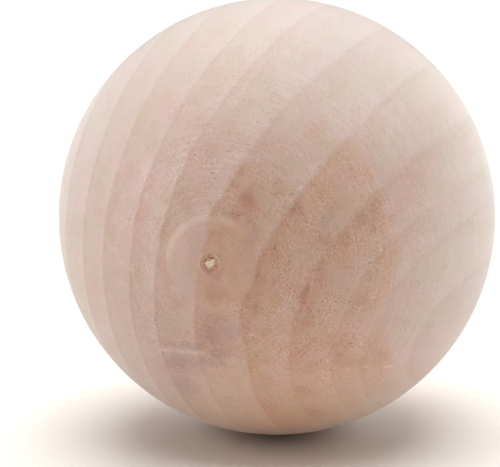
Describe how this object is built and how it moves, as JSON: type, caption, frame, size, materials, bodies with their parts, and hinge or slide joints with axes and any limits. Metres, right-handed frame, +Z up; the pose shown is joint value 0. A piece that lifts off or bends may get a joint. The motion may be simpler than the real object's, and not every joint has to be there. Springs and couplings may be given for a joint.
{
  "type": "wooden ball",
  "caption": "Solid turned wooden ball of plain sanded wood, with a low trimmed cap and a small lathe-centre pit at each pole of its grain, for crafts, knobs, finials and toys.",
  "frame": {"origin": "the centre of the ball", "axes": "+Y along the turning axis and the grain, from the front pole with the torn pit to the back pole; +Z up as the ball lies; +X to the right as seen from the front"},
  "size_m": [0.061, 0.0612, 0.061],
  "materials": {
    "sanded_wood": "bare, fine sanded, with no stain or varnish"
  },
  "bodies": {
    "root": {"ball": "sanded_wood"}
  },
  "joints": []
}
